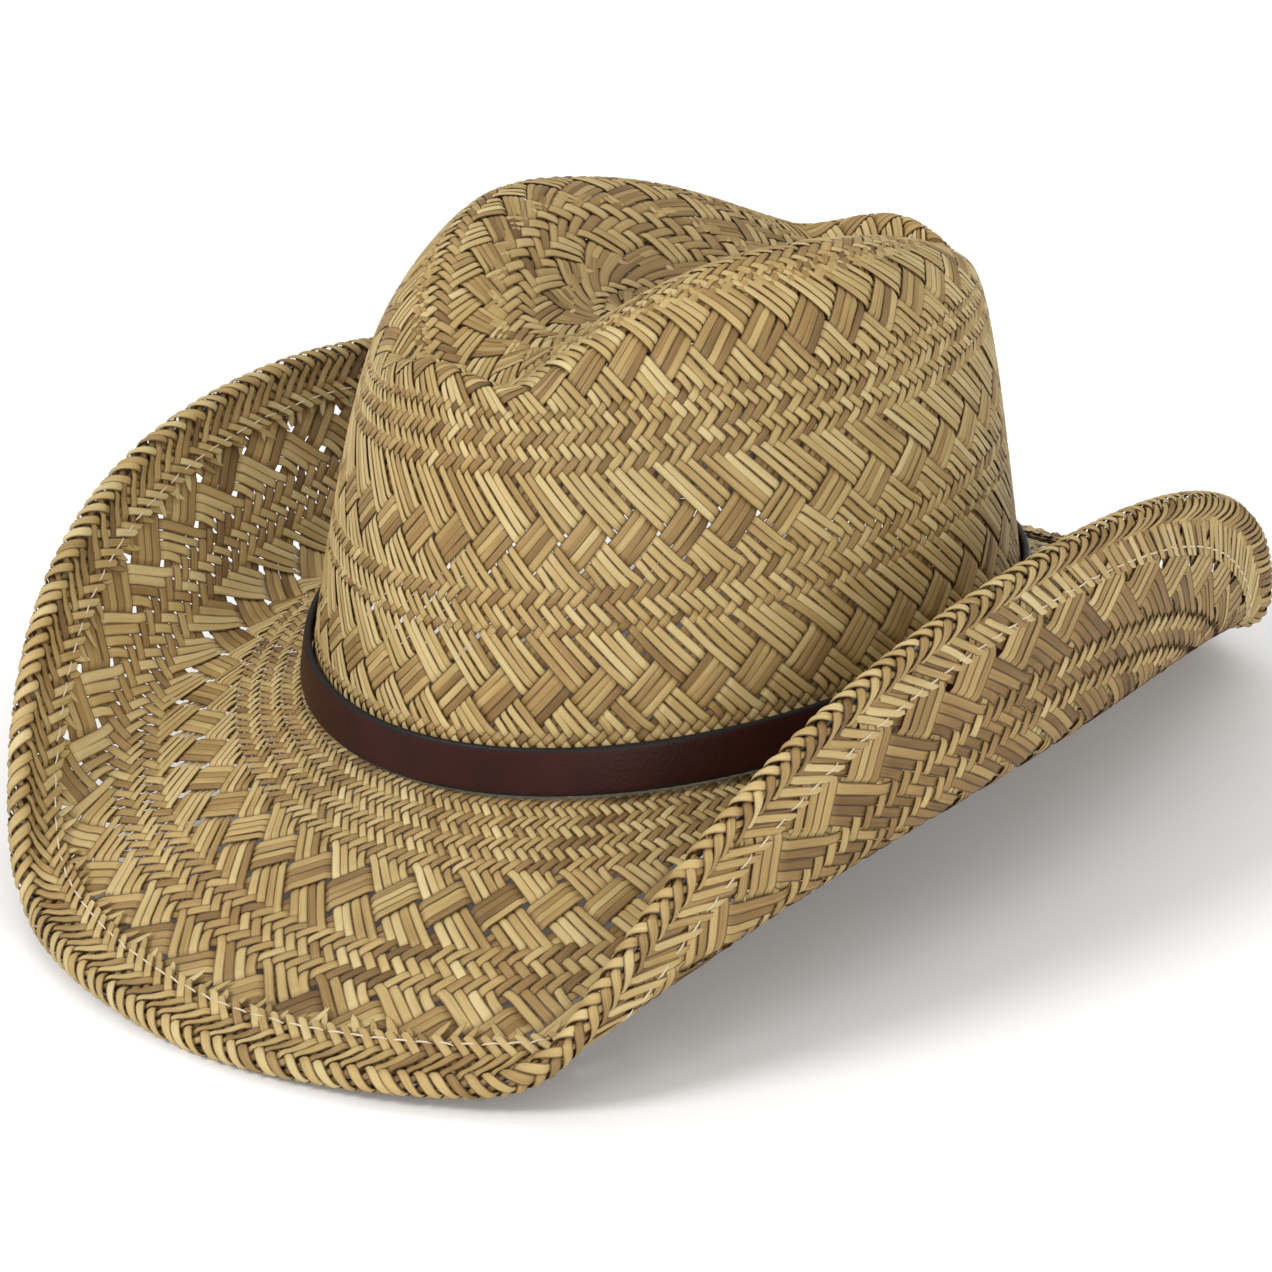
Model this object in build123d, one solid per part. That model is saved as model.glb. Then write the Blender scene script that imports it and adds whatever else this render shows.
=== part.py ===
from build123d import *
import os
from math import cos, exp, hypot, pi, radians, sin

# Woven straw cowboy hat, millimetres.
# The origin is the centre of the head opening. +X is the wearer's left, -Y the front, +Z up.

# Head opening: the oval that the sweatband leaves free
HEAD_WIDTH = 164.4
HEAD_LENGTH = 198.4

# Sheet thicknesses and clearances
WEAVE = 2.0
SWEATBAND_THICKNESS = 1.2
SHEET_GAP = 0.3
BAND_GAP = 0.6
SKIN_GAP = 0.15

# Crown: outside height, how square its profile is, and how it leans in towards the top
CROWN_HEIGHT = 132.0
CROWN_SQUARENESS = 4.4
CROWN_TILT = -0.118
SIDE_TAPER = 0.33
FRONT_TAPER = 0.153
BACK_TAPER = -0.093
BASE_SADDLE = 4.6

# Front pinch of the crown
PINCH_DEPTH = 0.27
PINCH_POWER = 2.0
PINCH_START = 0.13
PINCH_END = 0.67

# Crease along the top of the crown
CREASE_DEPTH = 45.9
CREASE_FRONT_HALF_WIDTH = 27.7
CREASE_BACK_HALF_WIDTH = 39.7
CREASE_FRONT_RUNOUT = 0.18
CREASE_BACK_RUNOUT = 0.16
CREASE_FALLOFF = 2.2

# Brim: flat widths, the fall near the crown, and the roll of each side
BRIM_SIDE = 85.6
BRIM_FRONT = 80.0
BRIM_BACK = 70.5
BRIM_FALL = radians(-18.8)
FALL_REACH = 70.0
ROLL_START = 105.0
ROLL_WIDTH = 22.5
ROLL_LEFT = radians(108.9)
ROLL_RIGHT = radians(80.9)
ROLL_FRONT_SHARE = 0.84
ROLL_BACK_SHARE = 0.765
ROLL_FRONT_PULL = 0.42
ROLL_BACK_PULL = 0.405
FRONT_DROP = 49.0
FRONT_DROP_EASE = -8.9
BACK_DROP = 32.0
BACK_DROP_EASE = 2.0
DROP_POWER = 3.7

# Folded edge, its wire and the wire's joiner
HEM_WIDTH = 12.0
WIRE_RADIUS = 0.7
SLEEVE_WALL = 0.35
SLEEVE_LENGTH = 14.0
SLEEVE_CLEARANCE = 0.3
HEM_CAVITY = WIRE_RADIUS + SLEEVE_CLEARANCE + SLEEVE_WALL + SKIN_GAP
WIRE_INSET = HEM_CAVITY + WEAVE
HEM_LEG = HEM_CAVITY + 3.0
SLIT = 0.15
FOLD_SEGMENTS = 4

# Leather hatband and the lap where its ends meet at the back
HATBAND_HEIGHT = 11.5
HATBAND_THICKNESS = 2.0
HATBAND_LAP = 26.0
HATBAND_LIFT = 0.8

# Sweatband and what is sewn to it
SWEATBAND_HEIGHT = 30.0
SWEATBAND_DROP = 1.0
REED_RADIUS = 1.0
TAPE_WIDTH = 10.0
TAPE_THICKNESS = 0.5
LABEL_WIDTH = 24.0
LABEL_HEIGHT = 14.0
LABEL_THICKNESS = 0.4
LABEL_ANGLE = radians(128.0)
BOW_LOOP = 8.0
BOW_RIBBON = 5.0
BOW_THICKNESS = 0.6
BOW_KNOT = 3.0
BOW_HEIGHT = 5.0

# Thread
THREAD_RADIUS = 0.35
LAP_STITCHES = 4
LAP_STITCH_LENGTH = 2.0
LAP_STITCH_INSET = 4.0
HEM_STITCH_INSET = 1.6
SEAM_HEIGHT = 2.0

# Fineness of the curved surfaces
CROWN_RINGS = 18
CROWN_RING_POINTS = 48
BRIM_RINGS = 12
BRIM_RING_POINTS = 60
BAND_POINTS = 48
PATCH_POINTS = 8
CORD_CORNERS = 8
ROLL_STEPS = 36
STEP = 0.002

BACK = pi / 2
CROWN_HALF_WIDTH = HEAD_WIDTH / 2 + SWEATBAND_THICKNESS + BAND_GAP + WEAVE
CROWN_HALF_LENGTH = HEAD_LENGTH / 2 + SWEATBAND_THICKNESS + BAND_GAP + WEAVE


def clamp(value):
    return min(1.0, max(0.0, value))


def smooth(value, start, end):
    """Ease from 0 at start to 1 at end."""
    share = clamp((value - start) / (end - start))
    return share * share * (3 - 2 * share)


def crown_outline(rise):
    """Share of the base's reach and share of the height, from the base (0) to the centre (1)."""
    angle = rise * BACK
    across, up = cos(angle), sin(angle)
    if rise >= 1:
        return 0.0, 1.0
    size = (across ** CROWN_SQUARENESS + up ** CROWN_SQUARENESS) ** (-1 / CROWN_SQUARENESS)
    return size * across, size * up


def wall_outline(height):
    """The same two shares at a height in millimetres above the crown's base line."""
    up = clamp(height / CROWN_HEIGHT)
    return (1 - up ** CROWN_SQUARENESS) ** (1 / CROWN_SQUARENESS), up


def crown_point(theta, reach, up):
    """A point on the outside of the crown: tapered, pinched at the front and creased on top."""
    x = CROWN_HALF_WIDTH * reach * cos(theta)
    y = CROWN_HALF_LENGTH * reach * sin(theta)
    along = y / CROWN_HALF_LENGTH
    x *= 1 - SIDE_TAPER * up
    y *= 1 - (FRONT_TAPER if y < 0 else BACK_TAPER) * up
    x *= 1 - PINCH_DEPTH * up ** PINCH_POWER * smooth(-along, -PINCH_START, PINCH_END)
    z = CROWN_HEIGHT * up * (1 + CROWN_TILT * along * up)
    widening = smooth(along, -1.0, 0.3)
    half_width = CREASE_FRONT_HALF_WIDTH + (CREASE_BACK_HALF_WIDTH - CREASE_FRONT_HALF_WIDTH) * widening
    window = smooth(along, -1.0, CREASE_FRONT_RUNOUT - 1) * smooth(-along, -1.0, CREASE_BACK_RUNOUT - 1)
    top = smooth(up, 0.55, 0.98)
    z -= CREASE_DEPTH * top * window * exp(-abs(x / half_width) ** CREASE_FALLOFF)
    z -= BASE_SADDLE * sin(theta) ** 2 * (1 - up)
    return Vector(x, y, z)


def roll_path(inner, outer, fall_scale, start, amount):
    """Run across and up along a brim section that falls, then rolls up from start on."""
    across = inner
    up = 0.0
    step = (outer - inner) / ROLL_STEPS
    for index in range(ROLL_STEPS):
        place = inner + (index + 0.5) * step
        slope = fall_scale * smooth(place, 0.0, FALL_REACH) + amount * smooth(place, start, start + ROLL_WIDTH)
        across += cos(slope) * step
        up += sin(slope) * step
    return across, up


def brim_point(theta, share):
    """A point on the top of the brim, from the crown (share 0) to the edge (share 1)."""
    front = sin(theta) < 0
    width = BRIM_FRONT if front else BRIM_BACK
    flat_x = abs((CROWN_HALF_WIDTH + share * BRIM_SIDE) * cos(theta))
    y = (CROWN_HALF_LENGTH + share * width) * sin(theta)
    along = abs(y) / (CROWN_HALF_LENGTH + width)
    roll = ROLL_LEFT if cos(theta) > 0 else ROLL_RIGHT
    end_share = ROLL_FRONT_SHARE if front else ROLL_BACK_SHARE
    roll *= 1 + (end_share - 1) * along ** 2
    start = ROLL_START * (1 - (ROLL_FRONT_PULL if front else ROLL_BACK_PULL) * along ** 2)
    base_x = CROWN_HALF_WIDTH * abs(cos(theta))
    x, z = roll_path(base_x, flat_x, BRIM_FALL, start, roll)
    drop, ease = (FRONT_DROP, FRONT_DROP_EASE) if front else (BACK_DROP, BACK_DROP_EASE)
    z -= abs(sin(theta)) ** DROP_POWER * (drop * share + ease * share ** 2)
    z -= BASE_SADDLE * sin(theta) ** 2
    return Vector(x if cos(theta) > 0 else -x, y, z)


def normal_at(surface, theta, share):
    """Unit normal of surface(theta, share), pointing away from the head."""
    turn = surface(theta + STEP, share) - surface(theta - STEP, share)
    rise = surface(theta, share + STEP) - surface(theta, share - STEP)
    return turn.cross(rise).normalized()


def crown_surface(theta, rise):
    return crown_point(theta, *crown_outline(rise))


def wall_surface(theta, height_share):
    return crown_point(theta, *wall_outline(height_share * CROWN_HEIGHT))


def crown_skin_point(theta, rise, offset):
    """A point off the outside of the crown: positive offsets are outside."""
    if rise >= 1:
        return crown_surface(theta, 1) + Vector(0, 0, offset)
    level = min(max(rise, STEP), 1 - 2 * STEP)
    return crown_surface(theta, rise) + normal_at(crown_surface, theta, level) * offset


def wall_point(theta, height, offset):
    """A point off the crown's wall at a height above its base line, level below that line."""
    share = max(height, 0.0) / CROWN_HEIGHT
    below = min(height, 0.0)
    normal = normal_at(wall_surface, theta, max(share, 2 * STEP))
    return wall_surface(theta, share) + normal * offset + Vector(0, 0, below)


def brim_share(theta, inset):
    """Share of the brim's width that lies inset millimetres in from its edge."""
    end = BRIM_FRONT if sin(theta) < 0 else BRIM_BACK
    return 1 - inset / hypot(BRIM_SIDE * cos(theta), end * sin(theta))


def brim_skin_point(theta, share, offset):
    """A point off the top of the brim: positive offsets are above, against the surface's normal."""
    return brim_point(theta, share) - normal_at(brim_point, theta, share) * offset


def even_steps(count):
    return [index / count for index in range(count + 1)]


def ring(point_at, count):
    """Closed smooth curve through point_at(theta) all the way round."""
    points = [point_at(2 * pi * index / count) for index in range(count)]
    return Wire([Edge.make_spline(points, periodic=True, parameters=even_steps(count))])


def arc_curve(point_at, first, last, count=BAND_POINTS):
    """Open smooth curve through point_at(theta) from one angle to another."""
    points = [point_at(first + (last - first) * index / count) for index in range(count + 1)]
    return Edge.make_spline(points, parameters=even_steps(count))


def sewn_solid(shells):
    """One solid out of shells and faces that meet edge to edge."""
    faces = [face for shell in shells for face in shell.faces()]
    return Solid(Shell(Face.sew_faces(faces)[0]))


def ring_loop(rings):
    """Closed band whose section is the polygon that the rings pass through."""
    pairs = zip(rings, rings[1:] + rings[:1])
    return sewn_solid([Shell.make_loft(list(pair), ruled=True) for pair in pairs])


def wall_patch(first, last, low, high, inner, outer, count=BAND_POINTS):
    """Strip that hugs the crown's wall between two angles, two heights and two offsets.

    The inner and outer offsets are functions of the angle.
    """
    corners = [(low, inner), (low, outer), (high, outer), (high, inner)]
    edges = [
        arc_curve(lambda a, h=height, o=offset: wall_point(a, h, o(a)), first, last, count)
        for height, offset in corners
    ]
    sides = [Face.make_surface_from_curves(edges[i], edges[(i + 1) % 4]) for i in range(4)]
    caps = []
    for end in (0, 1):
        low_end, high_end = [Edge.make_line(edges[i] @ end, edges[j] @ end) for i, j in ((0, 1), (3, 2))]
        caps.append(Face.make_surface_from_curves(low_end, high_end))
    return sewn_solid(sides + caps)


def rod(start, end, radius):
    """Straight round rod between two points."""
    run = end - start
    return Solid.make_cylinder(radius, run.length, Plane(origin=start, z_dir=run))


def round_corners(radius):
    """Corners of a near-round section as (across, up) pairs."""
    angles = [2 * pi * index / CORD_CORNERS for index in range(CORD_CORNERS)]
    return [(radius * cos(angle), radius * sin(angle)) for angle in angles]


def brim_cord(inset, lift, radius):
    """Round cord that follows the brim's edge at an inset and a height above the brim's top."""
    def corner(across, up):
        def point_at(theta):
            return brim_skin_point(theta, brim_share(theta, inset + across), lift + up)
        return ring(point_at, BRIM_RING_POINTS)
    return ring_loop([corner(across, up) for across, up in round_corners(radius)])


def wall_cord(height, offset, radius):
    """Round cord that follows the crown's wall at a height and an offset."""
    def corner(across, up):
        return ring(lambda a: wall_point(a, height + up, offset + across), BAND_POINTS)
    return ring_loop([corner(across, up) for across, up in round_corners(radius)])


def woven_crown():
    """Crown shell, open at the base."""
    def skin(offset):
        rises = [index / CROWN_RINGS for index in range(CROWN_RINGS)]
        rings = [ring(lambda a, r=rise: crown_skin_point(a, r, offset), CROWN_RING_POINTS) for rise in rises]
        apex = Vertex(*crown_skin_point(0, 1, offset))
        return rings[0], Shell.make_loft(rings + [apex])
    outer_base, outer = skin(0.0)
    inner_base, inner = skin(-WEAVE)
    return sewn_solid([outer, inner, Shell.make_loft([outer_base, inner_base], ruled=True)])


def woven_brim():
    """Brim sheet from the crown to the folded edge."""
    def share_at(theta, index):
        first = 1 - brim_share(theta, SHEET_GAP)
        last = brim_share(theta, WIRE_INSET + HEM_WIDTH + SHEET_GAP)
        return first + (last - first) * index / BRIM_RINGS
    def skin(offset):
        return [
            ring(lambda a, i=index: brim_skin_point(a, share_at(a, i), offset), BRIM_RING_POINTS)
            for index in range(BRIM_RINGS + 1)
        ]
    top, under = skin(0.0), skin(-WEAVE)
    inner_edge = Shell.make_loft([top[0], under[0]], ruled=True)
    outer_edge = Shell.make_loft([top[-1], under[-1]], ruled=True)
    return sewn_solid([Shell.make_loft(top), Shell.make_loft(under), inner_edge, outer_edge])


def fold_arc(radius):
    """Half circle round the wire, from above it to below it, as (inset, height) pairs."""
    angles = [pi * index / FOLD_SEGMENTS for index in range(FOLD_SEGMENTS + 1)]
    return [(-radius * sin(angle), SLIT / 2 + radius * cos(angle)) for angle in angles]


def hem_outline():
    """Section of the folded edge as (inset from the wire's centre, height above the brim's top)."""
    top = [(HEM_WIDTH, SLIT + WEAVE), (HEM_LEG, SLIT + WEAVE)]
    under = [(HEM_LEG, -WEAVE), (HEM_WIDTH, -WEAVE)]
    slit_low = [(HEM_WIDTH, 0.0), (HEM_LEG, 0.0)]
    slit_high = [(HEM_LEG, SLIT), (HEM_WIDTH, SLIT)]
    return top + fold_arc(WIRE_INSET) + under + slit_low + fold_arc(HEM_CAVITY)[::-1] + slit_high


def brim_hem():
    """Edge of the weave, folded over the wire and down onto the top of the brim."""
    def curve(inset, height):
        def point_at(theta):
            return brim_skin_point(theta, brim_share(theta, WIRE_INSET + inset), height)
        return ring(point_at, BRIM_RING_POINTS)
    return ring_loop([curve(inset, height) for inset, height in hem_outline()])


def wire_point(theta):
    return brim_skin_point(theta, brim_share(theta, WIRE_INSET), SLIT / 2)


def brim_wire():
    """Shaping wire in the fold; its ends butt inside the joiner."""
    return brim_cord(WIRE_INSET, SLIT / 2, WIRE_RADIUS)


def wire_joiner():
    """Tube over the two ends of the wire."""
    middle = wire_point(BACK)
    bore = WIRE_RADIUS + SLEEVE_CLEARANCE
    plane = Plane(origin=middle - Vector(SLEEVE_LENGTH / 2, 0, 0), z_dir=Vector(1, 0, 0))
    tube = Solid.make_cylinder(bore + SLEEVE_WALL, SLEEVE_LENGTH, plane)
    return tube - Solid.make_cylinder(bore, SLEEVE_LENGTH, plane)


def hem_thread():
    """Thread that holds the folded edge down."""
    return brim_cord(
        WIRE_INSET + HEM_WIDTH - HEM_STITCH_INSET, SLIT + WEAVE + BAND_GAP + THREAD_RADIUS, THREAD_RADIUS
    )


def hatband_strap():
    """Leather strap round the crown, its outer end lapped over its inner end at the back."""
    lap_angle = HATBAND_LAP / CROWN_HALF_WIDTH
    first = BACK - lap_angle / 2
    last = first + 2 * pi + lap_angle

    def inner(theta):
        lift = smooth(theta, last - 2.4 * lap_angle, last - 1.2 * lap_angle)
        return BAND_GAP + (HATBAND_THICKNESS + SHEET_GAP) * lift

    def outer(theta):
        return inner(theta) + HATBAND_THICKNESS

    return wall_patch(first, last, HATBAND_LIFT, HATBAND_LIFT + HATBAND_HEIGHT, inner, outer)


def hatband_stitching():
    """Two upright rows of stitches through the lap."""
    offset = BAND_GAP + SHEET_GAP + 2 * HATBAND_THICKNESS + SKIN_GAP + THREAD_RADIUS
    rows = []
    for side in (-1, 1):
        theta = BACK + side * (HATBAND_LAP / 2 - LAP_STITCH_INSET) / CROWN_HALF_WIDTH
        pitch = HATBAND_HEIGHT / LAP_STITCHES
        for index in range(LAP_STITCHES):
            middle = HATBAND_LIFT + pitch * (index + 0.5)
            ends = [wall_point(theta, middle + part * LAP_STITCH_LENGTH / 2, offset) for part in (-1, 1)]
            rows.append(rod(*ends, THREAD_RADIUS))
    return Compound(children=rows)


def sweatband_outside(theta):
    return -WEAVE - BAND_GAP


def sweatband_inside(theta):
    return sweatband_outside(theta) - SWEATBAND_THICKNESS


def sweatband():
    """Band inside the crown, butted at the back."""
    gap = SHEET_GAP / CROWN_HALF_LENGTH
    return wall_patch(
        BACK + gap, BACK + 2 * pi - gap, -SWEATBAND_DROP, SWEATBAND_HEIGHT, sweatband_inside, sweatband_outside
    )


def sweatband_reed():
    """Stiffening cord along the sweatband's lower edge."""
    offset = (sweatband_inside(0) + sweatband_outside(0)) / 2
    return wall_cord(-SWEATBAND_DROP - REED_RADIUS - SKIN_GAP, offset, REED_RADIUS)


def sweatband_thread():
    """Thread of the seam that joins the sweatband to the weave."""
    return wall_cord(SEAM_HEIGHT, sweatband_inside(0) - SHEET_GAP - THREAD_RADIUS, THREAD_RADIUS)


def inside_patch(middle, width, low, high, thickness):
    """Thin strip on the inner face of the sweatband."""
    half = width / 2 / CROWN_HALF_WIDTH

    def outer(theta):
        return sweatband_inside(theta) - SKIN_GAP

    def inner(theta):
        return outer(theta) - thickness

    return wall_patch(middle - half, middle + half, low, high, inner, outer, PATCH_POINTS)


def sweatband_tape():
    """Tape over the butt joint of the sweatband."""
    low = SEAM_HEIGHT + THREAD_RADIUS + SHEET_GAP
    return inside_patch(BACK, TAPE_WIDTH, low, SWEATBAND_HEIGHT, TAPE_THICKNESS)


def size_label():
    """Blank label sewn flat on the sweatband."""
    low = (SWEATBAND_HEIGHT - LABEL_HEIGHT) / 2
    return inside_patch(LABEL_ANGLE, LABEL_WIDTH, low, low + LABEL_HEIGHT, LABEL_THICKNESS)


def sweatband_bow():
    """Small flat bow at the foot of the tape: two ribbon loops and a knot."""
    face = sweatband_inside(BACK) - SKIN_GAP - TAPE_THICKNESS - SHEET_GAP
    plane = Plane(origin=wall_point(BACK, BOW_HEIGHT, face), x_dir=Vector(1, 0, 0), z_dir=Vector(0, 0, 1))
    depth = BOW_KNOT / 2
    knot = plane * Pos(0, -depth, 0) * Box(BOW_KNOT, BOW_KNOT, BOW_RIBBON)
    parts = [knot.solid()]
    for side in (-1, 1):
        ring_face = Ellipse(BOW_LOOP / 2, depth) - Ellipse(BOW_LOOP / 2 - BOW_THICKNESS, depth - BOW_THICKNESS)
        loop = extrude(ring_face, BOW_RIBBON / 2, both=True)
        place = Pos(side * (BOW_KNOT + BOW_LOOP) / 2, -depth, 0)
        parts.append((plane * place * loop).solid())
    return Compound(children=parts)


BUILDERS = {
    "woven_crown": woven_crown,
    "woven_brim": woven_brim,
    "brim_hem": brim_hem,
    "brim_wire": brim_wire,
    "wire_joiner": wire_joiner,
    "hem_thread": hem_thread,
    "hatband_strap": hatband_strap,
    "hatband_stitching": hatband_stitching,
    "sweatband": sweatband,
    "sweatband_reed": sweatband_reed,
    "sweatband_thread": sweatband_thread,
    "sweatband_tape": sweatband_tape,
    "sweatband_bow": sweatband_bow,
    "size_label": size_label,
}

os.makedirs("parts", exist_ok=True)
for name, builder in BUILDERS.items():
    export_step(builder(), f"parts/{name}.step")
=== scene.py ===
"""Woven straw cowboy hat: strands, folded brim edge, leather hatband and sweatband."""

import math

import bpy
import numpy as np
from bpy.props import FloatProperty, FloatVectorProperty, IntProperty, PointerProperty
from mathutils import Matrix, Vector


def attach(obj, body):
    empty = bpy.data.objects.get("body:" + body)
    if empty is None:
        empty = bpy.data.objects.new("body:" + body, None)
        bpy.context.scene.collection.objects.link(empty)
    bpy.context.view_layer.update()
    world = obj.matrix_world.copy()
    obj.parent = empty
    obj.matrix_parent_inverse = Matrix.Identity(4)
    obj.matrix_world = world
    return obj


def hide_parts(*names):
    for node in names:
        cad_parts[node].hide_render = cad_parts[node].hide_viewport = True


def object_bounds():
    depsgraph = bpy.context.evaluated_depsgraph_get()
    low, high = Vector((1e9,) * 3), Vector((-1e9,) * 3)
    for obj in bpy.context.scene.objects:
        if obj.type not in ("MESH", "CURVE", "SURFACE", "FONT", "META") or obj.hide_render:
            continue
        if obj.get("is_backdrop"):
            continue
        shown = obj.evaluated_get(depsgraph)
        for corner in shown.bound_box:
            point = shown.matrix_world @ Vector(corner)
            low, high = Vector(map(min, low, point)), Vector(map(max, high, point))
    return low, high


bl_info = {
    "name": "Woven Cowboy Hat",
    "version": (1, 0, 0),
    "blender": (4, 5, 0),
    "location": "3D View > Sidebar > Hat",
    "description": "Builds a straw hat strand by strand round its frame",
    "category": "Add Mesh",
}

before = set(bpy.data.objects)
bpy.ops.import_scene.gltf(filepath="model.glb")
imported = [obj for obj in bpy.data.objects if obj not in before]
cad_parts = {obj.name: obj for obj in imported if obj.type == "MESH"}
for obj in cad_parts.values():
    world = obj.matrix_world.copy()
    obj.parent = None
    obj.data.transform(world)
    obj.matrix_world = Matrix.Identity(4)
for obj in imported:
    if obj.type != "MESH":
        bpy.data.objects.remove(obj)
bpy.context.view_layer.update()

MM = 0.001
TURN = 2 * math.pi
BACK = math.pi / 2

# Sheets and clearances, as in the frame
WEAVE = 2.0 * MM
BAND_GAP = 0.6 * MM
CROWN_HALF_WIDTH = 86.0 * MM
CROWN_HALF_LENGTH = 103.0 * MM

# Crown
CROWN_HEIGHT = 132.0 * MM
CROWN_SQUARENESS = 4.4
CROWN_TILT = -0.118
SIDE_TAPER = 0.33
FRONT_TAPER = 0.153
BACK_TAPER = -0.093
BASE_SADDLE = 4.6 * MM
PINCH_DEPTH = 0.27
PINCH_POWER = 2.0
PINCH_START = 0.13
PINCH_END = 0.67
CREASE_DEPTH = 45.9 * MM
CREASE_FRONT_HALF_WIDTH = 27.7 * MM
CREASE_BACK_HALF_WIDTH = 39.7 * MM
CREASE_FRONT_RUNOUT = 0.18
CREASE_BACK_RUNOUT = 0.16
CREASE_FALLOFF = 2.2

# Brim
BRIM_SIDE = 85.6 * MM
BRIM_FRONT = 80.0 * MM
BRIM_BACK = 70.5 * MM
BRIM_FALL = math.radians(-18.8)
FALL_REACH = 70.0 * MM
ROLL_START = 105.0 * MM
ROLL_WIDTH = 22.5 * MM
ROLL_LEFT = math.radians(108.9)
ROLL_RIGHT = math.radians(80.9)
ROLL_FRONT_SHARE = 0.84
ROLL_BACK_SHARE = 0.765
ROLL_FRONT_PULL = 0.42
ROLL_BACK_PULL = 0.405
FRONT_DROP = 49.0 * MM
FRONT_DROP_EASE = -8.9 * MM
BACK_DROP = 32.0 * MM
BACK_DROP_EASE = 2.0 * MM
DROP_POWER = 3.7
ROLL_STEPS = 36

# Folded edge
HEM_WIDTH = 12.0 * MM
HEM_FOLD_RADIUS = 2.5 * MM
HEM_TOP_LEVEL = 1.15 * MM
WIRE_INSET = 3.5 * MM

# Bands
HATBAND_HEIGHT = 11.5 * MM
HATBAND_THICKNESS = 2.0 * MM
HATBAND_LIFT = 0.8 * MM
HATBAND_LAP = 26.0 * MM
HATBAND_STITCH_RADIUS = 0.38 * MM
SWEATBAND_THICKNESS = 1.2 * MM
SWEATBAND_HEIGHT = 30.0 * MM
SWEATBAND_DROP = 1.0 * MM
SWEATBAND_BUTT_GAP = 0.3 * MM
SEAM_HEIGHT = 2.0 * MM
SEAM_STITCH_LENGTH = 2.9 * MM
TAPE_WIDTH = 10.0 * MM
TAPE_FOOT = 2.7 * MM
TAPE_THICKNESS = 0.5 * MM
LABEL_PLACE = math.radians(128.0)
LABEL_WIDTH = 24.0 * MM
LABEL_FOOT = 8.0 * MM
LABEL_HEIGHT = 14.0 * MM
LABEL_THICKNESS = 0.4 * MM
BOW_HEIGHT = 5.0 * MM
BOW_DEPTH = 1.5 * MM
RIBBON_HALF_THICKNESS = 0.16 * MM

# Camera and lights: name, place, spread in degrees, strength
CAMERA_AZIMUTH = math.radians(39.58)
CAMERA_ELEVATION = math.radians(23.8)
CAMERA_ROLL = math.radians(-2.32)
CAMERA_DISTANCE = 1.2362
CAMERA_TARGET = (-0.02324, 0.01362, -0.01526)
CAMERA_LENS = 131.87
FLOOR_REACH = 6.0
WORLD_STRENGTH = 0.62
LIGHTS = (
    ("key_light", (-0.8, -1.4, 1.5), 20.0, 1.75),
    ("fill_light", (1.7, -1.2, 0.45), 40.0, 2.1),
    ("top_light", (0.1, 0.5, 1.7), 60.0, 0.5),
)

# Turn, and share of the rise, between the points that give a surface its normal
STEP = 0.002


def smooth(value, start, end):
    share = np.clip((value - start) / (end - start), 0.0, 1.0)
    return share * share * (3 - 2 * share)


def crown_outline(rise):
    angle = np.clip(rise, 0.0, 1.0) * BACK
    across, up = np.cos(angle), np.sin(angle)
    size = (across ** CROWN_SQUARENESS + up ** CROWN_SQUARENESS) ** (-1 / CROWN_SQUARENESS)
    return size * across, size * up


def wall_outline(height):
    up = np.clip(height / CROWN_HEIGHT, 0.0, 1.0)
    return (1 - up ** CROWN_SQUARENESS) ** (1 / CROWN_SQUARENESS), up


def crown_form(theta, reach, up):
    """Outside of the crown: tapered, pinched at the front and creased on top."""
    x = CROWN_HALF_WIDTH * reach * np.cos(theta)
    y = CROWN_HALF_LENGTH * reach * np.sin(theta)
    along = y / CROWN_HALF_LENGTH
    x = x * (1 - SIDE_TAPER * up)
    y = y * (1 - np.where(y < 0, FRONT_TAPER, BACK_TAPER) * up)
    x = x * (1 - PINCH_DEPTH * up ** PINCH_POWER * smooth(-along, -PINCH_START, PINCH_END))
    z = CROWN_HEIGHT * up * (1 + CROWN_TILT * along * up)
    widening = smooth(along, -1.0, 0.3)
    half_width = CREASE_FRONT_HALF_WIDTH + (CREASE_BACK_HALF_WIDTH - CREASE_FRONT_HALF_WIDTH) * widening
    window = smooth(along, -1.0, CREASE_FRONT_RUNOUT - 1) * smooth(-along, -1.0, CREASE_BACK_RUNOUT - 1)
    top = smooth(up, 0.55, 0.98)
    z = z - CREASE_DEPTH * top * window * np.exp(-np.abs(x / half_width) ** CREASE_FALLOFF)
    z = z - BASE_SADDLE * np.sin(theta) ** 2 * (1 - up)
    return np.stack([x, y, z], -1)


def crown_surface(theta, rise):
    return crown_form(theta, *crown_outline(rise))


def wall_surface(theta, height):
    return crown_form(theta, *wall_outline(height))


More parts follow.
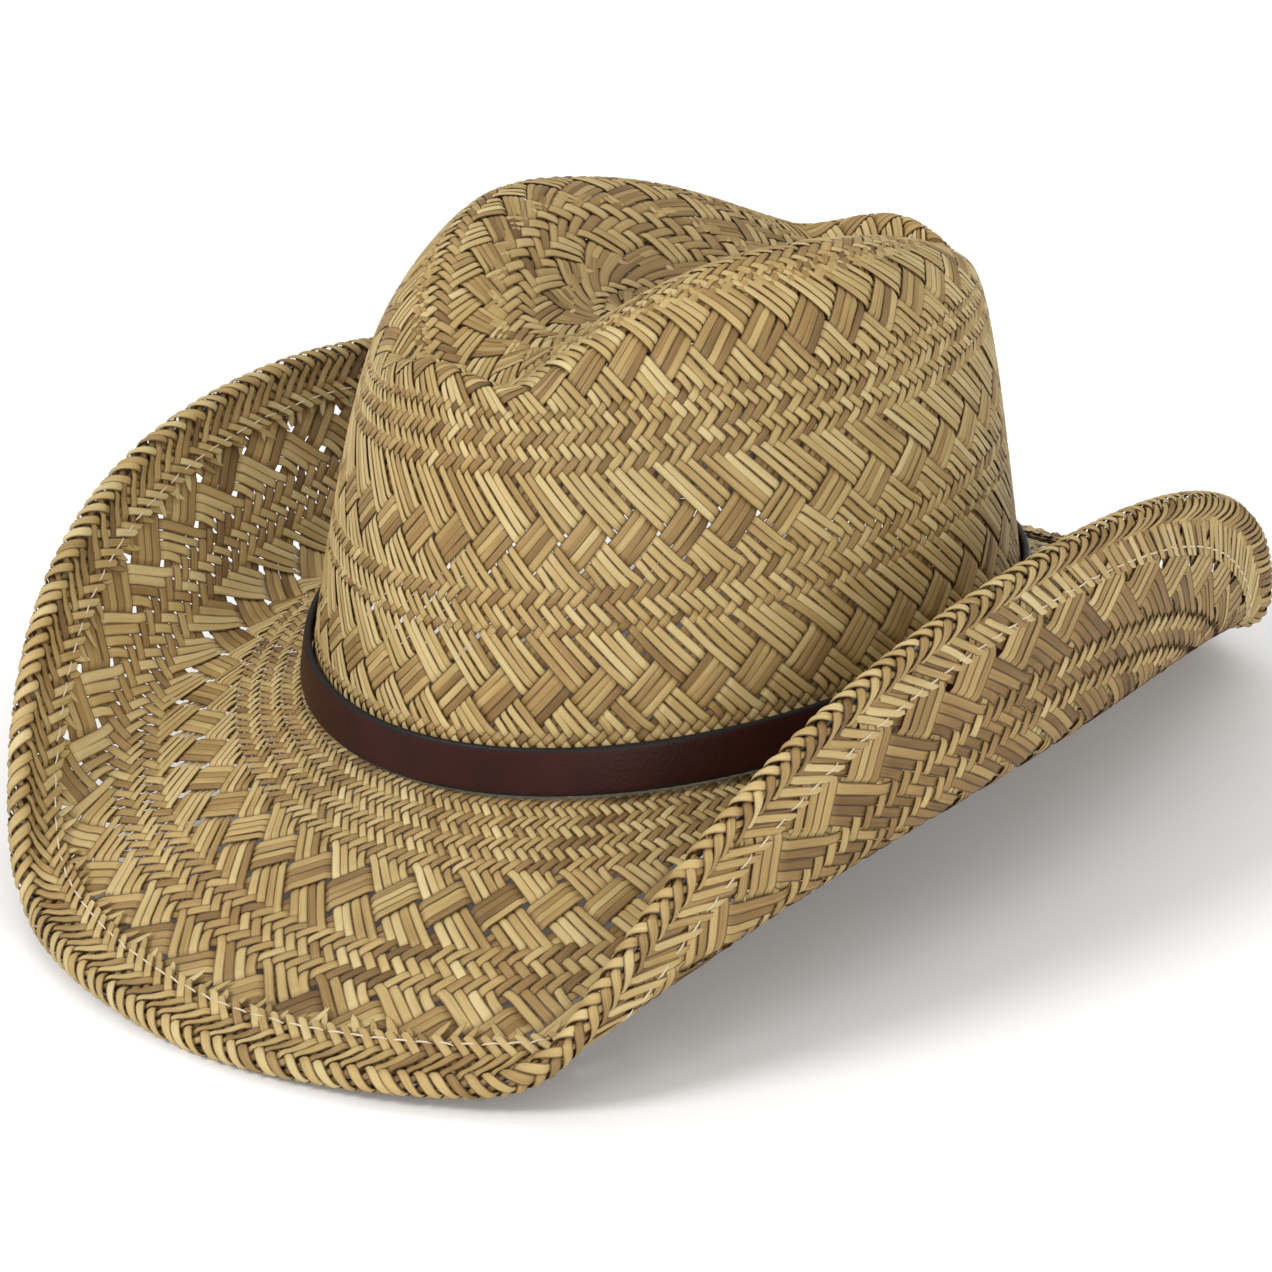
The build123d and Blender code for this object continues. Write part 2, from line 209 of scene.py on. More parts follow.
def brim_surface(theta, share):
    """Top of the brim, from the crown (share 0) to the edge (share 1)."""
    front = np.sin(theta) < 0
    width = np.where(front, BRIM_FRONT, BRIM_BACK)
    inner = CROWN_HALF_WIDTH * np.abs(np.cos(theta))
    outer = np.abs((CROWN_HALF_WIDTH + share * BRIM_SIDE) * np.cos(theta))
    y = (CROWN_HALF_LENGTH + share * width) * np.sin(theta)
    along = np.abs(y) / (CROWN_HALF_LENGTH + width)
    end_share = np.where(front, ROLL_FRONT_SHARE, ROLL_BACK_SHARE)
    roll = np.where(np.cos(theta) > 0, ROLL_LEFT, ROLL_RIGHT) * (1 + (end_share - 1) * along ** 2)
    start = ROLL_START * (1 - np.where(front, ROLL_FRONT_PULL, ROLL_BACK_PULL) * along ** 2)
    step = (outer - inner) / ROLL_STEPS
    x, z = inner, 0.0 * outer
    for index in range(ROLL_STEPS):
        place = inner + (index + 0.5) * step
        slope = BRIM_FALL * smooth(place, 0.0, FALL_REACH) + roll * smooth(place, start, start + ROLL_WIDTH)
        x = x + np.cos(slope) * step
        z = z + np.sin(slope) * step
    drop = np.where(front, FRONT_DROP, BACK_DROP) * share
    ease = np.where(front, FRONT_DROP_EASE, BACK_DROP_EASE) * share ** 2
    z = z - np.abs(np.sin(theta)) ** DROP_POWER * (drop + ease) - BASE_SADDLE * np.sin(theta) ** 2
    return np.stack([np.where(np.cos(theta) > 0, x, -x), y, z], -1)


def normals(surface, theta, level):
    turn = surface(theta + STEP, level) - surface(theta - STEP, level)
    rise = surface(theta, level + STEP) - surface(theta, level - STEP)
    made = np.cross(turn, rise)
    return made / np.maximum(np.linalg.norm(made, axis=-1, keepdims=True), 1e-12)


def crown_skin(theta, rise, offset):
    """Off the middle of the crown's straw; positive offsets are outside."""
    level = np.clip(rise, STEP, 1 - 2 * STEP)
    offset = offset - WEAVE / 2
    return crown_surface(theta, rise) + normals(crown_surface, theta, level) * offset[..., None]


def wall_point(theta, height, offset):
    """Off the crown's wall at a height above its base line, level below it."""
    theta, height, offset = np.broadcast_arrays(theta, height, offset)
    level = np.maximum(height, 0.0)
    made = wall_surface(theta, level) + wall_normal(theta, level) * offset[..., None]
    made[..., 2] += np.minimum(height, 0.0)
    return made


def wall_normal(theta, level):
    level = np.maximum(level, 0.5 * MM)
    turn = wall_surface(theta + STEP, level) - wall_surface(theta - STEP, level)
    rise = wall_surface(theta, level + 0.2 * MM) - wall_surface(theta, level - 0.2 * MM)
    made = np.cross(turn, rise)
    return made / np.linalg.norm(made, axis=-1, keepdims=True)


def brim_share(theta, inset):
    """Share of the brim's width that lies inset in from its edge."""
    end = np.where(np.sin(theta) < 0, BRIM_FRONT, BRIM_BACK)
    return 1 - inset / np.hypot(BRIM_SIDE * np.cos(theta), end * np.sin(theta))


def brim_skin(theta, share, offset):
    """Off the top of the brim; positive offsets are above."""
    return brim_surface(theta, share) - normals(brim_surface, theta, share) * offset[..., None]


def hem_skin(theta, path, offset):
    """Off the folded edge; path runs from the flap's inner edge, round the wire, to the underside."""
    flap = HEM_WIDTH
    half_round = math.pi * HEM_FOLD_RADIUS
    ride = smooth(path, flap - 4.5 * MM, flap)
    angle = np.clip((path - flap) / half_round, 0.0, 1.0) * math.pi
    after = np.maximum(path - flap - half_round, 0.0)
    radius = HEM_FOLD_RADIUS + offset
    inset = np.where(path < flap, flap - path, after) - radius * np.sin(angle)
    over = HEM_TOP_LEVEL + (HEM_FOLD_RADIUS - HEM_TOP_LEVEL) * ride + offset
    fall = smooth(after, 0.0, 4.5 * MM)
    under = -(HEM_FOLD_RADIUS + (WEAVE / 2 - HEM_FOLD_RADIUS) * fall) - offset
    around = radius * np.cos(angle)
    height = np.where(path < flap, over, np.where(after > 0, under, around))
    return brim_skin(theta, brim_share(theta, WIRE_INSET + inset), height)


def level_table(surface, low, high, count=240):
    """Levels against the turn-matched distance that keeps strands crossing at right angles."""
    levels = np.linspace(low, high, count)
    theta = np.linspace(0, TURN, 96, endpoint=False)
    grid = surface(theta[None, :], levels[:, None])
    around = np.linalg.norm(np.roll(grid, -1, 1) - grid, axis=-1).sum(1)
    radius = around / TURN
    step = np.linalg.norm(grid[1:] - grid[:-1], axis=-1).mean(1)
    reach = np.concatenate([[0.0], np.cumsum(step / ((radius[1:] + radius[:-1]) / 2))])
    return levels, reach, radius


def over_pattern(bands, rows, first, second, hand):
    """True where the first family passes over, for each strand of it and each row."""
    over = np.zeros(first.shape, bool)
    start = 0
    for count, kind, size in bands:
        inside = (rows >= start) & (rows < start + count)
        local = rows - start
        if kind == "diamonds":
            centre = start + DIAMOND_FOOT
            choice = ((first // size) + ((second + hand * centre) // size)) % 2 == 0
            choice = choice & (np.abs(rows - centre) < size)
        else:
            letters = np.array([letter == "A" for letter in size])
            choice = letters[np.clip(local, 0, count) % len(size)]
        over = np.where(inside, choice, over)
        start += count
    return over


def blockiness(bands, rows):
    """1 in bands of blocks, 0 elsewhere, eased over a row or two."""
    weight = np.zeros(rows.shape)
    start = 0
    for count, kind, size in bands:
        if kind == "diamonds":
            middle = start + count / 2
            weight = np.maximum(weight, 1 - smooth(np.abs(rows - middle), count / 2 - 1, count / 2 + 1))
        start += count
    return weight


def block_centre(bands, rows):
    """Middle row of the ring of blocks nearest to each row."""
    edges = np.cumsum([0] + [count for count, kind, size in bands])
    middles = [edge + DIAMOND_FOOT for edge, band in zip(edges, bands) if band[1] == "diamonds"] or [0]
    middles = np.array(middles)
    return middles[np.abs(rows[:, None] - middles[None, :]).argmin(1)]


def band_fill(bands, rows, fills):
    """Share of the pitch that a strand covers, row by row."""
    edges = np.cumsum([0] + [count for count, kind, size in bands])
    middles = (edges[1:] + edges[:-1]) / 2
    return np.interp(rows, middles, [fills[kind] for count, kind, size in bands])


# Steps along a strand for each crossing, points across it, and strands in a block
SUB = 3
ACROSS = 3
BUNCH = 4

# Rows between the places where a strand's wander and tone change, how far its rims drop as a share of the
# dome, and the scatter in width and in sideways tilt
DRIFT_ROWS = 6
RIM_DROP = 0.4
WIDTH_SCATTER = 0.05
WIDTH_LOWEST, WIDTH_HIGHEST = 0.86, 1.1
TILT_SCATTER = 0.10

# Seeds of the random draws
CROWN_SEED = 11
BRIM_SEED = 31
HEM_SEED = 47
CUT_END_SEED = 61
STITCH_SEED = 3

# Tone of the strands, 0 dark to 1 pale: the mean, half the step between families, the scatter between
# strands and along one, the share that is much darker and by how much, and the painted shade where one dips
# under
MEAN_TONE = 0.56
FAMILY_TONE = 0.11
STRAND_TONE = 0.12
DRIFT_TONE = 0.08
DARK_STEP = 0.26
DARK_SHARE = 0.06
PAINTED_DIP_SHADE = 0.20


def weave_strands(
    skin, level_at, start, strands, bands, seed, fills, lift, dome,
    hand=1, twist=0.0, spread=0.17, wander=0.05,
):
    """Ribbon points of both families of strands over one ring-shaped zone of a surface.

    hand says which way the first family runs, and twist leans both families the way the first runs.
    """
    rng = np.random.default_rng(seed)
    pitch = TURN / strands
    rows_total = sum(count for count, kind, size in bands)
    samples = np.arange(rows_total * SUB + 1) / SUB
    row = np.clip(np.floor(samples), 0, rows_total - 1).astype(int)
    part = samples - np.floor(samples)
    strand = np.arange(strands)[:, None]
    made = []
    for family in (1, -1):
        rows = np.arange(rows_total)[None, :]
        other = (strand - hand * family * rows) % strands
        first, second = (strand, other) if family == 1 else (other, strand)
        first, second = np.broadcast_arrays(first, second)
        rows_full = np.broadcast_to(rows, first.shape)
        over = over_pattern(bands, rows_full, first, second, hand)
        side = np.where(over, 1.0, -1.0) * family
        following = np.concatenate([side[:, 1:], side[:, -1:]], 1)
        ease = smooth(part, 0.12, 0.88)[None, :]
        height = side[:, row] * (1 - ease) + following[:, row] * ease
        block = blockiness(bands, samples)[None, :]
        centre = block_centre(bands, samples)[None, :] * hand * (family < 0)
        inner = (strand + centre) % BUNCH - (BUNCH - 1) / 2
        shift = -spread * inner * pitch * block
        knots = rng.normal(0, 1, (strands, rows_total // DRIFT_ROWS + 3))
        place = samples / DRIFT_ROWS
        low = np.floor(place).astype(int)
        mix = smooth(place - low, 0, 1)
        shift = shift + wander * pitch * (knots[:, low] * (1 - mix) + knots[:, low + 1] * mix)
        travel = samples[None, :] * pitch / 2
        theta = strand * pitch - hand * (family + twist) * travel
        width = rng.normal(1.0, WIDTH_SCATTER, (strands, 1)).clip(WIDTH_LOWEST, WIDTH_HIGHEST)
        half = width * band_fill(bands, samples, fills)[None, :] * pitch / 4
        across = np.linspace(-1, 1, ACROSS)[None, None, :]
        slide = (shift / 2)[..., None] + half[..., None] * across
        angle = theta[..., None] + slide
        reach = start + travel[..., None] + hand * family * slide
        bow = (1 - across ** 2) * dome - (across ** 2) * dome * RIM_DROP
        tilt = rng.normal(0, TILT_SCATTER, (strands, 1, 1)) * across * lift
        offset = height[..., None] * lift + bow + tilt
        level = level_at(reach)
        tone = rng.normal(MEAN_TONE - FAMILY_TONE * family, STRAND_TONE, (strands, 1))
        tone = tone - DARK_STEP * (rng.random((strands, 1)) < DARK_SHARE)
        drift = rng.normal(0, DRIFT_TONE, knots.shape)
        tone = tone + drift[:, low] * (1 - mix) + drift[:, low + 1] * mix
        # painted shade: a strand's tone falls where it dips under the other family
        tone = tone - PAINTED_DIP_SHADE * smooth(-height, -0.4, 1.0)
        tone = np.repeat(tone[..., None], ACROSS, 2)
        made.append((skin(angle, level, offset), tone.clip(0, 1)))
    points = np.concatenate([points for points, tone in made])
    tones = np.concatenate([tone for points, tone in made])
    return points, tones


def add_piece(mesh, material):
    """Object of a finished mesh, smooth, in its material and riding on the hat."""
    mesh.polygons.foreach_set("use_smooth", [True] * len(mesh.polygons))
    mesh.materials.append(material)
    made = bpy.data.objects.new(mesh.name, mesh)
    bpy.context.scene.collection.objects.link(made)
    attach(made, "root")
    return made


def ribbon_object(name, points, tones, material):
    """One mesh of many ribbons, each a grid of points along and across."""
    strands, along, across = points.shape[:3]
    index = np.arange(strands * along * across).reshape(strands, along, across)
    quads = np.stack(
        [index[:, :-1, :-1], index[:, :-1, 1:], index[:, 1:, 1:], index[:, 1:, :-1]], -1
    ).reshape(-1, 4)
    mesh = bpy.data.meshes.new(name)
    mesh.vertices.add(points.size // 3)
    mesh.vertices.foreach_set("co", points.reshape(-1).astype(np.float32))
    mesh.loops.add(quads.size)
    mesh.loops.foreach_set("vertex_index", quads.reshape(-1).astype(np.int32))
    mesh.polygons.add(len(quads))
    mesh.polygons.foreach_set("loop_start", np.arange(0, quads.size, 4, dtype=np.int32))
    mesh.update(calc_edges=True)
    tone = mesh.attributes.new("tone", "FLOAT", "POINT")
    tone.data.foreach_set("value", tones.reshape(-1).astype(np.float32))
    steps = np.linalg.norm(np.diff(points[:, :, across // 2], axis=1), axis=-1)
    length = np.concatenate([np.zeros((strands, 1)), np.cumsum(steps, 1)], 1)
    length = length + np.arange(strands)[:, None] * 0.37
    share = np.linspace(0, 1, across)
    grain = np.stack(np.broadcast_arrays(length[..., None], share[None, None, :]), -1).reshape(-1, 2)
    lane = (np.arange(strands)[:, None, None] + 0.1 + 0.8 * share[None, None, :]) / strands
    run = np.linspace(0.002, 0.998, along)[None, :, None]
    atlas = np.stack(np.broadcast_arrays(run, lane), -1).reshape(-1, 2)
    for title, coordinates in (("grain", grain), ("OFBake", atlas)):
        layer = mesh.uv_layers.new(name=title)
        layer.data.foreach_set("uv", coordinates[quads.reshape(-1)].reshape(-1).astype(np.float32))
    return add_piece(mesh, material)


def sweep_object(name, rings, material):
    """Mesh through a run of closed section loops, rings[along, round, xyz], with both ends closed."""
    along, around = rings.shape[:2]
    index = np.arange(along * around).reshape(along, around)
    nxt = np.roll(index, -1, 1)
    quads = np.stack([index[:-1], index[1:], nxt[1:], nxt[:-1]], -1).reshape(-1, 4).tolist()
    quads.append(index[0].tolist())
    quads.append(index[-1][::-1].tolist())
    mesh = bpy.data.meshes.new(name)
    mesh.from_pydata(rings.reshape(-1, 3).tolist(), [], quads)
    steps = np.linalg.norm(np.diff(rings[:, 0], axis=0), axis=-1)
    length = np.concatenate([[0.0], np.cumsum(steps)])
    share = np.arange(around) / around
    coordinates = np.stack(np.broadcast_arrays(length[:, None], share[None, :]), -1).reshape(-1, 2)
    layer = mesh.uv_layers.new(name="run")
    loops = np.zeros(len(mesh.loops), np.int32)
    mesh.loops.foreach_get("vertex_index", loops)
    layer.data.foreach_set("uv", coordinates[loops].reshape(-1).astype(np.float32))
    return add_piece(mesh, material)


class Nodes:
    """Short way to lay out a material's nodes."""

    def __init__(self, name):
        self.material = bpy.data.materials.new(name)
        self.material.use_nodes = True
        self.tree = self.material.node_tree
        self.shader = self.tree.nodes["Principled BSDF"]

    def add(self, kind, settings=None, inputs=None):
        node = self.tree.nodes.new(kind)
        for key, value in (settings or {}).items():
            setattr(node, key, value)
        for key, value in (inputs or {}).items():
            self.feed(node, key, value)
        return node

    def feed(self, node, key, value):
        if isinstance(value, bpy.types.NodeSocket):
            self.tree.links.new(value, node.inputs[key])
        else:
            node.inputs[key].default_value = value

    def ramp(self, factor, stops):
        node = self.add("ShaderNodeValToRGB", inputs={0: factor})
        ramp = node.color_ramp
        while len(ramp.elements) < len(stops):
            ramp.elements.new(0.5)
        for element, (place, colour) in zip(ramp.elements, stops):
            element.position = place
            element.color = (*colour, 1.0)
        return node.outputs["Color"]

    def mix(self, factor, first, second, blend="MIX"):
        node = self.add("ShaderNodeMix", {"data_type": "RGBA", "blend_type": blend})
        self.feed(node, 0, factor)
        self.feed(node, 6, first)
        self.feed(node, 7, second)
        return node.outputs[2]

    def math(self, operation, first, second=0.5, third=0.5):
        node = self.add("ShaderNodeMath", {"operation": operation})
        for key, value in enumerate((first, second, third)):
            self.feed(node, key, value)
        return node.outputs[0]

    def noise(self, vector, scale, detail=3.0, roughness=0.5):
        node = self.add(
            "ShaderNodeTexNoise", inputs={"Scale": scale, "Detail": detail, "Roughness": roughness}
        )
        self.feed(node, "Vector", vector)
        return node.outputs["Fac"]

    def stretched(self, source, scale):
        node = self.add("ShaderNodeMapping", inputs={"Scale": scale})
        self.feed(node, "Vector", source)
        return node.outputs["Vector"]

    def bump(self, height, strength, distance):
        node = self.add("ShaderNodeBump", inputs={"Strength": strength, "Distance": distance})
        self.feed(node, "Height", height)
        self.feed(self.shader, "Normal", node.outputs["Normal"])

    def uv(self, title):
        return self.add("ShaderNodeUVMap", {"uv_map": title}).outputs["UV"]

    def object_place(self):
        return self.add("ShaderNodeTexCoord").outputs["Object"]


def shaded(colour, share):
    return tuple(share * part for part in colour)


def straw_material(colours):
    """Split rush: every strand its own tone, fine fibres along it, darker flecks, and painted shade along its
    edges.
    """
    n = Nodes("rush_straw")
    grain = n.uv("grain")
    # the tone attribute also carries painted shade where a strand dips under the other family
    tone = n.add("ShaderNodeAttribute", {"attribute_name": "tone"}).outputs["Fac"]
    fibres = n.noise(n.stretched(grain, (9.0, 9.0, 1.0)), 1.0, 4.0, 0.65)
    fine = n.noise(n.stretched(grain, (60.0, 26.0, 1.0)), 1.0, 3.0, 0.6)
    blotch = n.noise(n.stretched(grain, (28.0, 1.2, 1.0)), 1.0, 3.0, 0.55)
    mixed = n.math("MULTIPLY_ADD", n.math("SUBTRACT", fibres, 0.5), 0.55, tone)
    mixed = n.math("MULTIPLY_ADD", n.math("SUBTRACT", blotch, 0.5), 0.35, mixed)
    colour = n.ramp(mixed, [
        (0.0, colours.straw_dark),
        (0.30, colours.straw_shade),
        (0.58, colours.straw_mid),
        (1.0, colours.straw_light),
    ])
    fleck = n.ramp(fine, [(0.30, (0.62, 0.55, 0.46)), (0.48, (1.0, 1.0, 1.0))])
    colour = n.mix(0.55, colour, fleck, "MULTIPLY")
    # painted shade: each strand darkens towards its long edges, standing in for the shadow in the gaps
    # between strands
    parts = n.add("ShaderNodeSeparateXYZ")
    n.feed(parts, 0, grain)
    side = n.math("ABSOLUTE", n.math("MULTIPLY_ADD", parts.outputs[1], 2.0, -1.0))
    edge_painted_shade = n.ramp(side, [(0.64, (1.0, 1.0, 1.0)), (0.97, (0.24, 0.17, 0.10))])
    colour = n.mix(1.0, colour, edge_painted_shade, "MULTIPLY")
    place = n.noise(n.object_place(), 22.0, 2.0)
    warm = n.ramp(place, [(0.35, (0.96, 0.98, 1.0)), (0.65, (1.03, 0.99, 0.94))])
    colour = n.mix(0.6, colour, warm, "MULTIPLY")
    n.feed(n.shader, "Base Color", colour)
    n.feed(n.shader, "Roughness", n.math("MULTIPLY_ADD", fibres, 0.25, 0.42))
    n.shader.inputs["Specular IOR Level"].default_value = 0.42
    ridges = n.math("ADD", fibres, n.math("MULTIPLY", fine, 0.6))
    n.bump(ridges, 0.55, 0.00035)
    return n.material


def leather_material(colours):
    """Dark brown smooth leather with a fine grain, its edges painted black."""
    n = Nodes("band_leather")
    place = n.object_place()
    around = n.add("ShaderNodeSeparateXYZ")
    n.feed(around, 0, n.uv("run"))
    share = around.outputs[1]
    edge = n.math("ABSOLUTE", n.math("SINE", n.math("MULTIPLY", share, TURN)))
    painted = n.ramp(edge, [(0.76, (0.0, 0.0, 0.0)), (0.84, (1.0, 1.0, 1.0))])
    cloud = n.noise(place, 60.0, 4.0)
    body = n.ramp(cloud, [(0.3, colours.leather_dark), (0.7, colours.leather)])
    n.feed(n.shader, "Base Color", n.mix(painted, (*colours.leather_edge, 1.0), body))
    pores = n.add("ShaderNodeTexVoronoi", inputs={"Scale": 1400.0})
    n.feed(pores, "Vector", place)
    creases = n.noise(place, 500.0, 5.0, 0.6)
    n.feed(n.shader, "Roughness", n.math("MULTIPLY_ADD", creases, 0.25, 0.34))
    n.shader.inputs["Specular IOR Level"].default_value = 0.14
    n.bump(n.math("ADD", pores.outputs["Distance"], creases), 0.35, 0.0002)
    return n.material


def cloth_material(name, colour, shade, threads=1500.0):
    """Plain woven cloth with visible warp and weft."""
    n = Nodes(name)
    run = n.uv("run")
    place = n.object_place()
    waves = {"Scale": threads / 6, "Distortion": 0.6}
    warp = n.add("ShaderNodeTexWave", {"bands_direction": "Z"}, waves)
    n.feed(warp, "Vector", place)
    weft = n.add("ShaderNodeTexWave", {"bands_direction": "X"}, waves)
    n.feed(weft, "Vector", run)
    crossing = n.math("MULTIPLY", warp.outputs["Fac"], weft.outputs["Fac"])
    cloud = n.math("MULTIPLY_ADD", n.noise(place, 90.0, 4.0), 0.6, n.math("MULTIPLY", crossing, 0.4))
    n.feed(n.shader, "Base Color", n.ramp(cloud, [(0.2, shade), (0.8, colour)]))
    n.shader.inputs["Roughness"].default_value = 0.85
    n.shader.inputs["Sheen Weight"].default_value = 0.25
    n.bump(crossing, 0.4, 0.0002)
    return n.material


def thread_material(name, colour, shade):
    """Twisted cotton thread."""
    n = Nodes(name)
    place = n.object_place()
    twist = n.add("ShaderNodeTexWave", {"bands_direction": "DIAGONAL"}, {"Scale": 700.0, "Distortion": 1.0})
    n.feed(twist, "Vector", place)
    cloud = n.math("MULTIPLY_ADD", twist.outputs["Fac"], 0.5, n.noise(place, 300.0))
    n.feed(n.shader, "Base Color", n.ramp(cloud, [(0.4, shade), (0.9, colour)]))
    n.shader.inputs["Roughness"].default_value = 0.8
    n.bump(twist.outputs["Fac"], 0.5, 0.0002)
    return n.material


def hard_material(name, colour, metallic, roughness):
    """Drawn wire, tube or cord with fine scratches."""
    n = Nodes(name)
    place = n.object_place()
    scratch = n.noise(n.stretched(place, (900.0, 900.0, 120.0)), 1.0, 4.0)
    n.feed(n.shader, "Base Color", n.ramp(scratch, [(0.3, shaded(colour, 0.7)), (0.7, colour)]))
    n.shader.inputs["Metallic"].default_value = metallic
    n.feed(n.shader, "Roughness", n.math("MULTIPLY_ADD", scratch, 0.2, roughness))
    n.bump(scratch, 0.2, 0.0001)
    return n.material


class HatSizes(bpy.types.PropertyGroup):
    crown_strands: IntProperty(
        name="Crown strands", description="Strands of each family round the crown", default=168, min=24
    )
    brim_strands: IntProperty(
        name="Brim strands", description="Strands of each family round the brim", default=216, min=24
    )
    strand_lift: FloatProperty(
        name="Strand lift", description="How far an over strand stands off the middle of the weave",
        default=0.42 * MM, unit="LENGTH", precision=5,
    )
    strand_dome: FloatProperty(
        name="Strand crown", description="Height of a strand's rounded back",
        default=0.26 * MM, unit="LENGTH", precision=5,
    )
    stitch_length: FloatProperty(
        name="Stitch length", description="Visible length of one hem stitch",
        default=4.4 * MM, unit="LENGTH", precision=5,
    )
    hem_strands: IntProperty(
        name="Hem strands", description="Strands of each family round the folded edge", default=248, min=24
    )
    hem_stitches: IntProperty(
        name="Hem stitches", description="Stitches round the folded edge", default=176, min=12
    )
    seam_stitches: IntProperty(
        name="Seam stitches", description="Stitches round the foot of the sweatband", default=132, min=12
    )
    thread_radius: FloatProperty(
        name="Thread radius", description="Radius of the sewing thread",
        default=0.26 * MM, unit="LENGTH", precision=5,
    )


def colour_property(title, description, value):
    return FloatVectorProperty(
        name=title, description=description, subtype="COLOR", size=3, min=0.0, max=1.0, default=value
    )


class HatColours(bpy.types.PropertyGroup):
    straw_dark: colour_property("Straw, dark", "Darkest strands", (0.135, 0.072, 0.018))
    straw_shade: colour_property("Straw, tan", "Tan strands", (0.262, 0.160, 0.050))
    straw_mid: colour_property("Straw, middle", "Most of the strands", (0.415, 0.292, 0.108))
    straw_light: colour_property("Straw, light", "Palest strands", (0.570, 0.455, 0.220))
    leather: colour_property("Leather", "Face of the hatband", (0.034, 0.0072, 0.0046))
    leather_dark: colour_property("Leather, dark", "Clouding in the hatband", (0.022, 0.0052, 0.0036))
    leather_edge: colour_property("Leather edge", "Painted edge of the hatband", (0.012, 0.011, 0.011))
    thread: colour_property("Thread", "Hem and seam thread", (0.66, 0.56, 0.40))
    lining: colour_property("Sweatband", "Cotton sweatband", (0.46, 0.36, 0.23))
    ribbon: colour_property("Ribbon", "Bow at the back of the sweatband", (0.06, 0.03, 0.025))
    label: colour_property("Label", "Blank label", (0.80, 0.78, 0.72))
    floor: colour_property("Floor", "Studio floor", (0.90, 0.90, 0.90))


# Weave plans, from the foot of a zone outwards: rows, kind, and its size or letters
# "diamonds" is a ring of blocks of the first family, so many strands each, among long floats of the second
# "rows" gives the family that passes over in each row, A for the first and B for the second, repeated
WALL_PLAN = [
    (9, "rows", "AABB"), (14, "diamonds", 4), (7, "rows", "ABBBAAB"), (15, "diamonds", 4),
    (9, "rows", "AABB"), (14, "diamonds", 4), (7, "rows", "AABBAAB"), (14, "diamonds", 4),
    (8, "rows", "AABB"), (14, "diamonds", 4),
]
BRIM_PLAN = [
    (14, "rows", "AABB"), (12, "diamonds", 4), (6, "rows", "AABBAA"), (13, "diamonds", 4),
    (12, "rows", "AABB"),
]
HEM_PLAN = [(18, "rows", "BBBAAABBBAAABBBBBB")]
TIP_PLAN = [(6, "rows", "AABB"), (13, "diamonds", 4), (4, "rows", "AABB")]
FINE_PLAN = [(2, "rows", "AABB")]

# Zones of the crown from its foot: name, radius in mm where it ends, share of the strands, plan
CROWN_ZONES = (
    ("crown_wall_weave", 72, 1.0, WALL_PLAN),
    ("crown_shoulder_weave", 46, 2 / 3, TIP_PLAN),
    ("crown_top_weave", 22, 1 / 3, TIP_PLAN),
    ("crown_centre_weave", 9, 1 / 6, FINE_PLAN),
    ("crown_button_weave", 0.8, 1 / 12, FINE_PLAN),
)
CROWN_LEVELS = 900
CROWN_TOP_LEVEL = 0.9998
BRIM_END_LEVEL = 0.96
ZONE_OVERLAP = 1.2

# Rows from the foot of a ring of diamonds to its middle, the share of the pitch that a strand covers,
# how far both families lean, how far blocks close up, and how far a strand wanders
DIAMOND_FOOT = 5
CLOSED_FILL = {"rows": 0.91, "diamonds": 0.93}
OPEN_FILL = {"rows": 0.88, "diamonds": 0.88}
HEM_FILL = {"rows": 0.76}
CROWN_TWIST = 0.16
CROWN_SPREAD = 0.12
CROWN_WANDER = 0.08
BRIM_TWIST = 0.10


def level_finder(table):
    """Function that turns a distance in the table into a level on the surface."""
    levels, reach = table[:2]
    return lambda value: np.interp(value, reach, levels)


def settings():
    scene = bpy.context.scene
    return scene.hat_sizes, scene.hat_colours


def straw():
    made = bpy.data.materials.get("rush_straw")
    return made or straw_material(settings()[1])


def rows_between(first, last, strands):
    """Rows of crossings between two distances in a level table."""
    return int(round((last - first) * strands / math.pi))


def cut_plan(plan, rows):
    """The plan's bands for that many rows: the last band is cut, or twill goes on after it."""
    made, left = [], rows
    for count, kind, size in plan:
        if left <= 0:
            break
        made.append((min(count, left), kind, size))
        left -= count
    if left > 0:
        made.append((left, "rows", "AABB"))
    return made


class HatPiece:
    bl_options = {"REGISTER", "UNDO"}


class HAT_OT_crown(HatPiece, bpy.types.Operator):
    """Weave the crown in zones, each with fewer strands than the one below it"""
    bl_idname = "hat.crown"
    bl_label = "Woven crown"

    def execute(self, context):
        sizes = settings()[0]
        table = level_table(crown_surface, 0.0, CROWN_TOP_LEVEL, CROWN_LEVELS)
        reach, radius = table[1:]
        start = 0.0
        for number, (name, inner_radius, share, plan) in enumerate(CROWN_ZONES):
            count = int(round(sizes.crown_strands * share / BUNCH)) * BUNCH
            past = np.nonzero(radius < inner_radius * MM)[0]
            end = reach[past[0]] if len(past) else reach[-1]
            rows = max(rows_between(start, end, count), 2)
            foot = start - ZONE_OVERLAP * TURN / count * (number > 0)
            points, tones = weave_strands(
                crown_skin, level_finder(table), foot, count, cut_plan(plan, rows), CROWN_SEED + number,
                CLOSED_FILL, sizes.strand_lift, sizes.strand_dome,
                -1, CROWN_TWIST, CROWN_SPREAD, CROWN_WANDER,
            )
            made = ribbon_object(name, points, tones, straw())
            if number == 0:
                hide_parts("woven_crown")
            start = start + rows * math.pi / count
        return {"FINISHED"}


def brim_skin_sheet(theta, share, offset):
    """Off the middle of the brim's straw."""
    return brim_skin(theta, share, offset - WEAVE / 2)


